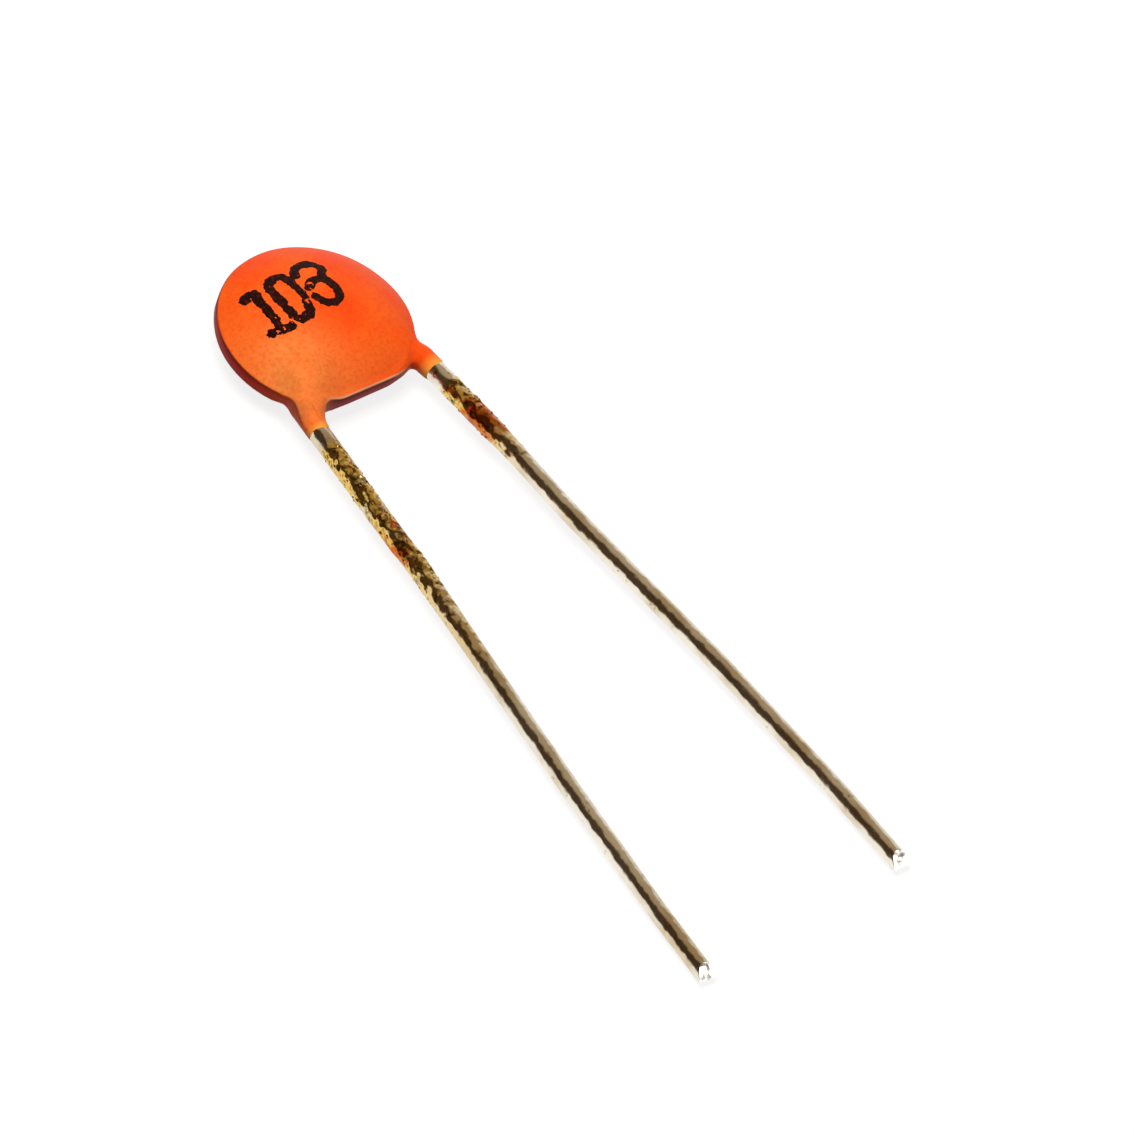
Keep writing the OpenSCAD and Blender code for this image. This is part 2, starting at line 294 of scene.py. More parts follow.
class Form:
    """The plain form of the part, in millimetres, with the disc's centre as origin."""

    def __init__(self, size):
        self.size = s = size
        self.wire_z = s.disc_t / 2 + s.electrode_t + s.solder_film + s.lead_d / 2
        self.crown = self.wire_z + s.lead_d / 2 + s.coat_film
        self.body_r = s.disc_d / 2 + s.coat_edge
        self.foot_y = s.disc_d / 2 + s.coat_foot
        self.turn_r = s.disc_d / 2 + s.edge_gap
        self.leg_r = s.lead_d / 2 + s.leg_film
        self.run = {LEFT: s.left_run, RIGHT: s.right_run}
        self.web = {LEFT: s.left_web, RIGHT: s.right_web}
        self.fade = {LEFT: s.left_fade, RIGHT: s.right_fade}
        self.free_length = {LEFT: s.left_length, RIGHT: s.right_length}
        tips = [self.route(side)[-1] for side in (LEFT, RIGHT)]
        reach = -min(tip[1] for tip in tips)
        self.tilt = math.atan((self.crown - s.lead_d / 2) / reach)
        self.middle = ((tips[0][0] + tips[1][0]) / 2, (self.body_r - reach) / 2)

    def exit_x(self, side):
        """How far across a wire leaves the disc."""
        return side * self.size.lead_pitch / 2 + self.size.lead_shift

    def seat_end(self, side):
        x = side * self.size.seat_x + self.size.lead_shift
        return np.array([x, self.size.seat_y, -side * self.wire_z])

    def edge_bend(self, side):
        x = self.exit_x(side) - side * self.size.lead_inset
        return np.array([x, -math.sqrt(self.turn_r**2 - x * x), -side * self.wire_z])

    def plane_bend(self, side):
        return np.array([self.exit_x(side), -self.turn_r, 0.0])

    def heading(self, side, lean=None):
        """Where a stretch of wire points. Without a lean, the first one, which the coat grips."""
        lean = SLACK[side][0][1] if lean is None else lean
        angle = self.size.lead_splay + math.radians(lean)
        return np.array([side * math.sin(angle), -math.cos(angle), 0.0])

    def coat_end(self, side):
        drop = self.foot_y + self.run[side] - self.turn_r
        return self.plane_bend(side) + self.heading(side) * drop

    def leg_end(self, side):
        return self.coat_end(side) - self.heading(side) * self.leg_r

    def route(self, side):
        """Corners of a wire's middle, from its seat on the disc to its tip."""
        points = [self.seat_end(side), self.edge_bend(side), self.plane_bend(side)]
        at = self.coat_end(side)
        for share, lean in SLACK[side]:
            at = at + self.heading(side, lean) * share * self.free_length[side]
            points.append(at)
        return points

    def stretches(self, side):
        """The coated stretches of a wire in plan, each as its two ends."""
        stops = (self.seat_end, self.edge_bend, self.plane_bend, self.leg_end)
        stops = [place(side)[:2] for place in stops]
        return list(zip(stops, stops[1:]))

    def in_head(self, at, web):
        """Depth inside the plan of the head: a circle, cut by the dip line within a web."""
        return blend(self.body_r - norm(at), at[..., 1] + self.foot_y, web)

    def outline(self, at):
        """Below nought inside the outline in plan of the head and both legs."""
        out = -self.in_head(at, self.size.foot_r)
        for side in (LEFT, RIGHT):
            off = [at - nearest(at, *stretch) for stretch in self.stretches(side)]
            outer = side * off[-1][..., 0] > 0
            web = np.where(outer, min(self.size.outer_web, self.web[side]), self.web[side])
            out = blend(out, np.min(norm(np.array(off)), axis=0) - self.leg_r, web)
        return out

    def dome(self, at):
        """Half of the thickness without the swells: it falls to the rim, and to the dip line."""
        s = self.size
        # A blend of two equal heights adds a quarter of its reach
        flat = s.rim_half - s.face_web / 4
        fallen = np.maximum(self.body_r - self.in_head(at, s.notch_web), 0) / self.body_r
        return -blend((self.crown - flat) * fallen**s.fullness - self.crown, -flat, s.face_web)

    def swell(self, at, side, up):
        """Rises where the dome alone would leave too little on a wire."""
        s = self.size
        ridges = 0
        edge = self.edge_bend(side)[1]
        foot = np.where(up == -side, self.leg_end(side)[1], self.plane_bend(side)[1])
        for stretch in self.stretches(side):
            over = nearest(at, *stretch)
            level = self.wire_z * (1 - softened(ramp(over[..., 1], edge, foot)))
            needed = -side * up * level + self.leg_r - self.dome(over)
            # On its outer side its width follows the resin there, down to the width of a leg
            outer = np.clip(-s.outer_swell * self.outline(over), 2 * self.leg_r, s.swell_width)
            width = np.where(side * (at - over)[..., 0] > 0, outer, s.swell_width)
            aside = np.minimum(norm(at - over) / width, 1)
            ridge = -blend(-needed, 0, s.face_web) * (1 - aside**2) ** 2
            ridges = ridges + ridge**JOIN_POWER
        return ridges ** (1 / JOIN_POWER)

    def skin(self, p):
        """Below nought inside the coat, with the slow unevenness of a dipped coat."""
        s, at = self.size, p[..., :2]
        facing = np.where(p[..., 2] > 0, 1, -1)
        rounded = 0
        for side in (LEFT, RIGHT):
            # Underneath, the resin drew round the leg from farther up than on the face
            low = norm(at - nearest(at, *self.stretches(side)[-1]))
            off = np.where(facing > 0, norm(at - self.leg_end(side)[:2]), low) - self.leg_r
            rounded = np.maximum(rounded, ramp(off, self.fade[side], 0))
        height = self.dome(at) + self.swell(at, LEFT, facing) + self.swell(at, RIGHT, facing)
        edge_r = np.minimum(s.rim_r + (self.leg_r - s.rim_r) * rounded, height)
        out = self.outline(at) + edge_r
        up = np.abs(p[..., 2]) - height + edge_r
        corner = np.hypot(np.maximum(out, 0), np.maximum(up, 0))
        waves = np.random.default_rng(WAVE_SEED).normal(size=(WAVES, 3))
        sines = np.sin(p @ waves.T * WAVE_RATE + np.arange(WAVES) * WAVE_PHASE)
        uneven = s.unevenness * sines.mean(axis=-1)
        return corner + np.minimum(np.maximum(out, up), 0) - edge_r + uneven

    def laid(self, points):
        """Points of the upright part, moved to where it lies."""
        turn = np.array(Matrix.Rotation(self.tilt, 3, "X"))
        return np.asarray(points) @ turn.T + [-self.middle[0], -self.middle[1], self.crown]


def coat_loft(form):
    """Closed rings over the coat, from the end of one leg, round the head, to the other end."""
    pivot = np.array([form.size.lead_shift, -form.foot_y - max(form.run.values()), 0.0])
    # Past every part of the coat: out from the pivot, up, and round the pivot beside a leg
    beyond, above, beside = form.body_r - 2 * pivot[1], 2 * form.crown, math.radians(130)
    targets = np.array([form.leg_end(LEFT), form.leg_end(RIGHT), [0.0, 0.0, 0.0]]) - pivot

    def on_ray(angle, distance, z=0.0):
        angle, distance, z = np.broadcast_arrays(angle, distance, z)
        ray = np.stack([np.sin(angle), np.cos(angle), np.zeros_like(angle)], -1)
        return pivot + ray * distance[..., None] + np.stack([z * 0, z * 0, z], -1)

    def core(angle):
        """How far out each ray is deepest, where it passes the legs' ends and the centre."""
        angle = np.atleast_1d(angle)[:, None]
        rays = np.concatenate([np.sin(angle), np.cos(angle), angle * 0], axis=1)
        reaches = np.maximum(rays @ targets.T, 0)
        depths = form.skin(on_ray(angle, reaches))
        return np.take_along_axis(reaches, depths.argmin(axis=1)[:, None], 1)[:, 0]

    def end_angle(side):
        return crossing(lambda a: form.skin(on_ray(a, core(a))), [0.0], side * beside)[0]

    angles = eased(end_angle(LEFT), end_angle(RIGHT), RINGS)
    inner = angles[1:-1]
    deepest = core(inner)
    near, far = (
        crossing(lambda d: form.skin(on_ray(inner, d)), deepest, outside) for outside in (0, beyond)
    )
    across = eased(0, 1, RING_STEPS)[1:-1]
    distances = near[:, None] + (far - near)[:, None] * across
    rays = inner[:, None]
    top, bottom = (
        on_ray(rays, distances, crossing(
            lambda z: form.skin(on_ray(rays, distances, z)), 0 * distances, outside
        ))
        for outside in (above, -above)
    )
    rings = np.concatenate(
        [on_ray(rays, near[:, None]), top, on_ray(rays, far[:, None]), bottom[:, ::-1]], axis=1
    )
    return rings, on_ray(angles[[0, -1]], core(angles[[0, -1]]))


def finish_places(form, points):
    """Shares from 0 to 1 of the painted shade on the wall round the rim, of the painted shade line
    under its upper edge, of the painted highlight on the edge between the legs, and of the thin
    film at their ends."""
    s, leg_r = form.size, form.leg_r
    film = legs = np.zeros(len(points))
    for side in (LEFT, RIGHT):
        end = form.coat_end(side)
        near = np.abs(points[:, 0] - end[0]) < 2 * s.lead_d  # Not the other leg, nor the notch
        above = (points - end) @ -form.heading(side)
        film = np.maximum(film, near * ramp(above, FILM_REACH[side] * leg_r, 0))
        off = norm(points[:, :2] - form.leg_end(side)[:2]) - leg_r
        legs = np.maximum(legs, ramp(off, *(reach * leg_r for reach in LEG_REACH)))
    # The painted shade on the wall covers the outer half of the rim's rounding, and the painted
    # shade line the outer quarter
    inside, z = -form.outline(points[:, :2]), points[:, 2]
    # Painted highlight along the rim's rounding between the legs, above the dip line
    edge = ramp(np.abs(inside / s.rim_r - EDGE_MIDDLE), EDGE_HALF, 0) * (z > 0)
    low = ramp(points[:, 1] + form.foot_y, *EDGE_RISE)
    # Painted shade: a dark line under the rim's upper edge
    line = ramp(inside, s.rim_r / 4, 0) * (z > s.rim_half / 4)
    return {
        "rim_painted_shade": ramp(inside, s.rim_r / 2, 0) * (1 - WALL_LOSS * legs),
        "rim_shade_line": line * (1 - LINE_LOSS * legs),
        "edge_painted_highlight": edge * low * (1 - legs),
        "thin_film": film,
    }


def loft_faces(rings, around):
    """Quads between the rings, and a fan to a point at each end."""
    index = np.arange(rings * around).reshape(rings, around)
    following = np.roll(index, -1, axis=1)
    quads = np.stack([index[:-1], following[:-1], following[1:], index[1:]], -1).reshape(-1, 4)
    first, last = rings * around, rings * around + 1
    fans = [(first, b, a) for a, b in zip(index[0], following[0])]
    fans += [(last, a, b) for a, b in zip(index[-1], following[-1])]
    return [tuple(map(int, face)) for face in [*quads, *fans]]


def straight(start, end, spacing):
    """Points from after a start up to an end, about a spacing apart."""
    steps = max(1, math.ceil(norm(end - start) / spacing))
    return [start + (end - start) * i / steps for i in range(1, steps + 1)]


def bent_path(points, radii, spacing):
    """Points along a wire's middle: straights, and an arc at each corner."""
    path = [points[0]]
    for i in range(1, len(points) - 1):
        before, after = unit(points[i] - points[i - 1]), unit(points[i + 1] - points[i])
        turn = math.acos(float(np.clip(before @ after, -1, 1)))
        start = points[i] - before * (radii[i] * math.tan(turn / 2))
        path += straight(path[-1], start, spacing)
        ahead, inward = before * radii[i], unit(after - before * (before @ after)) * radii[i]
        steps = max(2, math.ceil(radii[i] * turn / spacing))
        for angle in np.linspace(0, turn, steps + 1)[1:]:
            path.append(start + inward - inward * math.cos(angle) + ahead * math.sin(angle))
    return path + straight(path[-1], points[-1], spacing)


# ---- Materials


def dipped_coat_material(look, sheen_middle):
    """Phenolic resin dip, cured and waxed: opaque orange, satin, with a faint orange peel. Its
    colour also holds painted shade round the rim, a painted highlight on the edge between the legs
    and a broad painted sheen on the face.
    """
    material, add, where = new_material("dipped_phenolic_resin")
    # Resin gathers and thins over a millimetre or two, its pigment leaves a mottle of about a
    # tenth of a millimetre, and orange peel has dimples a quarter of a millimetre across
    gathers, mottle, peel = (
        add(NOISE, {"Vector": where, "Scale": 1 / (mm * MM), "Detail": detail, "Roughness": 0.55})
        for mm, detail in ((1.6, 2.0), (0.1, 3.0), (0.25, 1.0))
    )
    thick = add(SPAN, [gathers, 0.3, 0.7], **SMOOTH)
    # A broad painted sheen: the face is paler towards one spot on it, in patches
    away = add(VECTOR, [where, sheen_middle], operation="DISTANCE").outputs["Value"]
    gleams = add(SPAN, [away, 0.2 * MM, 2.6 * MM, 0.85, 0.0], **SMOOTH)
    patchy = add(SPAN, [gathers, 0.35, 0.6, 1.0, 0.6])
    gleams = add(MATH, [gleams, patchy], operation="MULTIPLY")
    grains = add(SPAN, [mottle, 0.4, 0.7, 0.0, 0.35], **SMOOTH)
    layers = [(thick, look.face_warm), (gleams, look.face_sheen), (grains, look.face_deep)]
    # Painted shade darkens the wall round the rim and a line under its upper edge, and a painted
    # highlight lightens the sharp edge between the legs. The film is thin at the end of each leg,
    # where the wire shines through yellow
    for place in ("rim_painted_shade", "rim_shade_line", "edge_painted_highlight", "thin_film"):
        share = add(ATTRIBUTE, attribute_name=place).outputs["Fac"]
        layers.append((share, getattr(look, place)))
    body = look.face
    for share, over in layers:
        body = add(MIX, [share, body, over], **COLOUR)
    satin = add(SPAN, [gathers, 0.3, 0.7, 0.42, 0.52])
    shader = add(SURFACE, {
        "Base Color": body,
        "Roughness": satin,
        "IOR": 1.5,
        "Specular IOR Level": 0.13,
        "Normal": add(BUMP, {"Strength": 0.12, "Distance": 0.02 * MM, "Height": peel}),
    })
    add(OUTPUT, {"Surface": shader})
    return material


def ink_material(look):
    """Pad-printing ink: dull, near black, with a maroon cast where the orange shows through."""
    material, add, where = new_material("pad_printing_ink")
    # The pad leaves thin spots of about a tenth of a millimetre, and pits half as wide
    wear, pits = (
        add(NOISE, {"Vector": where, "Scale": 1 / (mm * MM), "Detail": 3.0, "Roughness": 0.6})
        for mm in (0.09, 0.05)
    )
    worn = add(SPAN, [wear, 0.5, 0.72], **SMOOTH)
    body = add(MIX, [worn, look.ink, look.ink_thin], **COLOUR)
    dull = add(SPAN, [pits, 0.3, 0.7, 0.5, 0.7])
    shader = add(SURFACE, {
        "Base Color": body,
        "Roughness": dull,
        "IOR": 1.5,
        "Specular IOR Level": 0.2,
        "Normal": add(BUMP, {"Strength": 0.3, "Distance": 0.01 * MM, "Height": pits}),
    })
    add(OUTPUT, {"Surface": shader})
    return material


def tinned_wire_material(look, side, reach):
    """Hot-tinned copper-clad steel: bright tin, dulled brown in store, with baked flux near
    the coat. The reach of the flux and the along attribute are in millimetres."""
    material, add, where = new_material(f"tinned_wire_{SIDE_NAMES[side]}")
    along = add(ATTRIBUTE, attribute_name="along").outputs["Fac"]
    # Brown dulling comes in stretches of two or three millimetres, stains in spots of half a
    # millimetre, burnt flecks of a sixth and lumps in the residue of a third of a millimetre
    dulling, stain, fleck, lumps = (
        add(
            NOISE, {"Vector": where, "W": side * 1.7, "Scale": 1 / (mm * MM),
                    "Detail": detail, "Roughness": rough}, noise_dimensions="4D",
        )
        for mm, detail, rough in (
            (2.4, 3.0, 0.6), (0.5, 4.0, 0.65), (0.17, 1.5, 0.6), (0.3, 1.0, 0.5)
        )
    )
    dulled = add(SPAN, [dulling, 0.42, 0.62], **SMOOTH)
    # Flux stays off the bright ring beside the coat, bakes on behind it and ends in spots
    started = add(SPAN, [along, 0.2, 0.45], **SMOOTH)
    ended = add(SPAN, [along, reach * 0.5, reach * 1.1, 1.0, 0.0])
    near = add(MATH, [started, ended], operation="MULTIPLY")
    spots = add(SPAN, [stain, 0.3, 0.48], **SMOOTH)
    flux = add(MATH, [near, spots], operation="MULTIPLY")
    # One stretch went rusty: its middle, its half length in millimetres, and how much of it
    middle, half, most = {
        LEFT: (look.rust_left, 1.8, 0.4), RIGHT: (look.rust_right, 1.2, 0.58)
    }[side]
    off = add(MATH, [along, middle / MM], operation="SUBTRACT")
    off = add(MATH, [off], operation="ABSOLUTE")
    rusting = add(SPAN, [off, 0.0, half, most, 0.2], **SMOOTH)
    rusted = add(MATH, [stain, rusting], operation="ADD")
    rusted = add(SPAN, [rusted, 0.84, 0.98], **SMOOTH)
    rusted = add(MATH, [rusted, near], operation="MULTIPLY")
    # Burnt flecks are thick near the coat and few farther on
    scarce = add(SPAN, [near, 0.0, 1.0, 0.13, 0.0])
    burnt = add(MATH, [fleck, scarce], operation="SUBTRACT")
    burnt = add(SPAN, [burnt, 0.52, 0.64, 0.0, 0.65], **SMOOTH)
    # The slopes left by the cutters are fresh metal
    cut = add(ATTRIBUTE, attribute_name="cut").outputs["Fac"]
    body = look.tin
    for share, over in (
        (dulled, look.tin_dull), (flux, look.flux), (rusted, look.flux_rust),
        (burnt, look.flux_burnt), (cut, look.cut),
    ):
        body = add(MIX, [share, body, over], **COLOUR)
    rough = add(SPAN, [near, 0.0, 1.0, 0.25, 0.27])
    bumpy = add(SPAN, [near, 0.0, 1.0, 0.2, 1.0])
    shader = add(SURFACE, {
        "Base Color": body,
        "Metallic": 1.0,
        "Roughness": rough,
        "Normal": add(BUMP, {"Strength": bumpy, "Distance": 0.3 * MM, "Height": lumps}),
    })
    add(OUTPUT, {"Surface": shader})
    return material


def sealed_material(name, base, darker, grain_mm, metallic, roughness):
    """A plain grained finish for a piece that the coat seals in."""
    material, add, where = new_material(name)
    grain = add(
        NOISE, {"Vector": where, "Scale": 1 / (grain_mm * MM), "Detail": 3.0, "Roughness": 0.6}
    )
    grain = add(SPAN, [grain, 0.35, 0.7], **SMOOTH)
    body = add(MIX, [grain, linear(base), linear(darker)], **COLOUR)
    shader = add(SURFACE, {
        "Base Color": body,
        "Metallic": metallic,
        "Roughness": roughness,
        "Normal": add(BUMP, {"Strength": 0.3, "Distance": 0.01 * MM, "Height": grain}),
    })
    add(OUTPUT, {"Surface": shader})
    return material


def floor_material(stage):
    """Pale matt board. The camera, metal and gloss see it as white, with a faint shadow."""
    material, add, where = new_material("pale_matt_board")
    # Tooth of about two millimetres
    tooth = add(NOISE, {"Vector": where, "Scale": 1 / (2.0 * MM), "Detail": 2.0})
    tooth = add(SPAN, [tooth, 0.3, 0.7, 0.0, 0.06], **SMOOTH)
    board = add(MIX, [tooth, stage.board, stage.board_tooth], **COLOUR)
    bounce = add("ShaderNodeBsdfDiffuse", {"Color": board})
    lit = add("ShaderNodeBsdfDiffuse", {"Color": stage.board_lit})
    glow = add("ShaderNodeEmission", {"Strength": stage.board_glow})
    seen = add("ShaderNodeAddShader", [lit, glow])
    path = add("ShaderNodeLightPath").outputs
    shown = path["Is Camera Ray"]
    for ray in ("Is Glossy Ray", "Is Transmission Ray"):
        shown = add(MATH, [shown, path[ray]], operation="MAXIMUM")
    add(OUTPUT, {"Surface": add("ShaderNodeMixShader", [shown, bounce, seen])})
    return material


# ---- Geometry Nodes


def wire_tree():
    """Sweeps a round wire along a curve, with lumps of residue near its coated end, beads of
    old solder, and two slopes cut at its tip."""
    tree = bpy.data.node_groups.new("tinned_wire", "GeometryNodeTree")
    add = partial(add_node, tree)
    tree.interface.new_socket("Geometry", in_out="OUTPUT", socket_type="NodeSocketGeometry")
    for kind, names in (
        ("Geometry", ("Route",)),
        ("Float", ("Wire diameter", "Coated length", "Free length", "Residue thickness",
                   "Residue reach", "Lump size", "Slope length", "Slope ratio", "Bead radius",
                   "Bead density")),
        ("Vector", ("Slope axis",)),
        ("Int", ("Seed",)),
        ("Material", ("Finish",)),
    ):
        for name in names:
            tree.interface.new_socket(name, in_out="INPUT", socket_type=f"NodeSocket{kind}")
    given = add("NodeGroupInput").outputs

    travelled = add("GeometryNodeSplineParameter").outputs["Length"]
    along = add(MATH, [travelled, given["Coated length"]], operation="SUBTRACT")
    caught = add("GeometryNodeCaptureAttribute", {"Geometry": given["Route"]})
    for kind, name, value in (
        ("FLOAT", "Along", along),
        ("VECTOR", "Middle", add("GeometryNodeInputPosition")),
        ("VECTOR", "Direction", add("GeometryNodeInputTangent")),
    ):
        caught.capture_items.new(kind, name)
        tree.links.new(value.outputs[0], caught.inputs[name])
    along, middle, direction = (caught.outputs[k] for k in ("Along", "Middle", "Direction"))

    half = add(MATH, [given["Wire diameter"], 2.0], operation="DIVIDE")
    profile = add(
        "GeometryNodeCurvePrimitiveCircle", {"Resolution": WIRE_SIDES, "Radius": half},
        mode="RADIUS",
    )
    sweep = add(
        "GeometryNodeCurveToMesh",
        {"Curve": caught, "Profile Curve": profile, "Scale": add("GeometryNodeInputRadius")},
    )

    # Residue: thick next to the coat, lumpy, and gone at its reach
    place = add("GeometryNodeInputPosition")
    outward = add(VECTOR, [place, middle], operation="SUBTRACT")
    fineness = add(MATH, [1.0, given["Lump size"]], operation="DIVIDE")
    lumps = add(
        NOISE, {"Vector": place, "W": given["Seed"], "Scale": fineness, "Detail": 2.0},
        noise_dimensions="4D",
    )
    thins_from = add(MATH, [given["Residue reach"], 0.5], operation="MULTIPLY")
    covered = add(SPAN, [along, thins_from, given["Residue reach"], 1.0, 0.0], **SMOOTH)
    lumpy = add(SPAN, [lumps, 0.3, 0.7, 0.5, 1.2])
    height = covered
    for factor in (lumpy, given["Residue thickness"]):
        height = add(MATH, [height, factor], operation="MULTIPLY")
    offset = add(VECTOR, [outward], operation="NORMALIZE")
    offset = add(VECTOR, [offset, height], operation="SCALE")
    lifted = add("GeometryNodeSetPosition", {"Geometry": sweep, "Offset": offset})

    # Tip: each point slides back by its height above or below the ridge
    free = given["Free length"]
    slopes_from = add(MATH, [free, given["Slope length"]], operation="SUBTRACT")
    last = add(SPAN, [along, slopes_from, free])
    off_ridge = add(VECTOR, [outward, given["Slope axis"]], operation="DOT_PRODUCT")
    slide = add(MATH, [off_ridge.outputs["Value"]], operation="ABSOLUTE")
    for factor in (given["Slope ratio"], last, -1.0):
        slide = add(MATH, [slide, factor], operation="MULTIPLY")
    offset = add(VECTOR, [direction, slide], operation="SCALE")
    cut = add("GeometryNodeSetPosition", {"Geometry": lifted, "Offset": offset})
    welded = add("GeometryNodeMergeByDistance", {"Geometry": cut, "Distance": WELD * MM})
    smooth = add(SHADING, {"Geometry": welded, "Shade Smooth": True})
    nearly = add(MATH, [free, SLOPE_EDGE * MM], operation="SUBTRACT")
    on_slope = add(COMPARE, [along, nearly], operation="GREATER_THAN")
    flat = add(
        SHADING, {"Geometry": smooth, "Selection": on_slope, "Shade Smooth": False}, domain="FACE"
    )
    wire = add(
        STORE, {"Geometry": flat, "Name": "cut", "Value": on_slope},
        data_type="FLOAT", domain="FACE",
    )

    # Beads of old solder and flux, sunk halfway into the wire
    bare = add(COMPARE, [along, BEADLESS * MM], operation="GREATER_THAN")
    density = add(MATH, [covered, given["Bead density"]], operation="MULTIPLY")
    points = add(
        "GeometryNodeDistributePointsOnFaces",
        {"Mesh": welded, "Selection": bare, "Density": density, "Seed": given["Seed"]},
        distribute_method="RANDOM",
    )
    ball = add("GeometryNodeMeshIcoSphere", {"Radius": given["Bead radius"], "Subdivisions": 2})
    sizes = add("FunctionNodeRandomValue", {"Min": 0.5, "Max": 1.2, "Seed": given["Seed"]})
    flattened = add(VECTOR, [(1.0, 1.0, 0.5), sizes.outputs[1]], operation="SCALE")
    beads = add(
        "GeometryNodeInstanceOnPoints",
        {"Points": points.outputs["Points"], "Instance": ball,
         "Rotation": points.outputs["Rotation"], "Scale": flattened},
    )
    beads = add(SHADING, {"Geometry": add(REALIZE, [beads]), "Shade Smooth": True})
    both = add("GeometryNodeJoinGeometry", [beads])
    tree.links.new(wire.outputs[0], both.inputs[0])
    in_mm = add(MATH, [along, MM], operation="DIVIDE")
    kept = add(
        STORE, {"Geometry": both, "Name": "along", "Value": in_mm},
        data_type="FLOAT", domain="POINT",
    )
    real = add(REALIZE, [kept])
    finished = add("GeometryNodeSetMaterial", {"Geometry": real, "Material": given["Finish"]})
    add("NodeGroupOutput", [finished])
    return tree


def run_tree(obj, tree, values, name):
    """Runs a tree on an object and returns the result as a plain mesh object."""
    modifier = obj.modifiers.new(tree.name, "NODES")
    modifier.node_group = tree
    for item in tree.interface.items_tree:
        if item.name in values:
            modifier[item.identifier] = values[item.name]
    graph = bpy.context.evaluated_depsgraph_get()
    graph.update()
    mesh = bpy.data.meshes.new_from_object(obj.evaluated_get(graph))
    obj.modifiers.remove(modifier)
    bpy.data.objects.remove(obj)
    mesh.name = name
    return new_object(name, mesh)


# ---- Ink


def smooth_path(points, closed, steps=8):
    """A smooth line through points."""
    points = np.array(points)
    n = len(points)
    if closed:
        around = points[np.arange(-1, n + 2) % n]
    else:
        around = np.vstack([2 * points[0] - points[1], points, 2 * points[-1] - points[-2]])
    line = []
    for a, b, c, d in zip(around, around[1:], around[2:], around[3:]):
        for t in np.arange(steps) / steps:
            line.append(0.5 * (2 * b + (c - a) * t + (2 * a - 5 * b + 4 * c - d) * t**2
                               + (3 * b - a - 3 * c + d) * t**3))
    return np.array(line + [line[0] if closed else points[-1]])


def lattice_noise(x, y, size, seed):
    """Smooth noise from 0 to 1 with features about size across."""
    lattice = np.random.default_rng(seed).random((LATTICE, LATTICE))
    u, v = x / size + LATTICE_START, y / size + LATTICE_START
    i, j = np.floor(u).astype(int), np.floor(v).astype(int)
    a, b = softened(u - i), softened(v - j)

    def row(up):
        here, beyond = (lattice[(i + k) % LATTICE, (j + up) % LATTICE] for k in (0, 1))
        return here * (1 - a) + beyond * a

    return row(0) * (1 - b) + row(1) * b


def ink_field(x, y, half_width):
    """Below nought where there is ink."""
    where = np.stack([x, y], -1)
    away = np.full(x.shape, np.inf)
    for closed, points in CODE_STROKES:
        line = smooth_path(points, closed)
        for a, b in zip(line, line[1:]):
            away = np.minimum(away, norm(where - nearest(where, a, b)))
    edge = away - half_width
    for height, size, seed in EDGE_NOISES:
        edge = edge + height * (lattice_noise(x, y, size, seed) - 0.5)
    wear = sum(height * lattice_noise(x, y, size, seed) for height, size, seed in WEAR_NOISES)
    faded = np.zeros(x.shape)
    for cx, cy, r in CODE_FADED:
        faded = np.maximum(faded, np.exp(-((x - cx) ** 2 + (y - cy) ** 2) / r**2))
    return np.maximum(edge, (wear - WEAR_LIMIT + FADED_LOSS * faded) * WEAR_SLOPE)


def cut_grid(x, y, field):
    """The part of a grid where a field is below nought: its points and its faces."""
    rows, columns = x.shape
    flat = np.stack([x.ravel(), y.ravel()], -1)
    value = field.ravel()
    points, index, faces = [], {}, []

    def point(i, j):
        """The grid's point i, or else the place between its points i and j with no value."""
        key = (min(i, j), max(i, j))
        if key not in index:
            index[key] = len(points)
            i, j = key
            t = 0 if i == j else value[i] / (value[i] - value[j])
            points.append(flat[i] + (flat[j] - flat[i]) * t)
        return index[key]

    for row in range(rows - 1):
        for column in range(columns - 1):
            k = row * columns + column
            right, up, over = k + 1, k + columns, k + columns + 1
            if value[[k, right, up, over]].min() >= 0:
                continue
            for corners in ((k, right, over), (k, over, up)):
                face = []
                for a, b in zip(corners, corners[1:] + corners[:1]):
                    if value[a] < 0:
                        face.append(point(a, a))
                    if (value[a] < 0) != (value[b] < 0):
                        face.append(point(a, b))
                if len(face) > 2:
                    faces.append(face)
    return np.array(points), faces


# ---- Properties


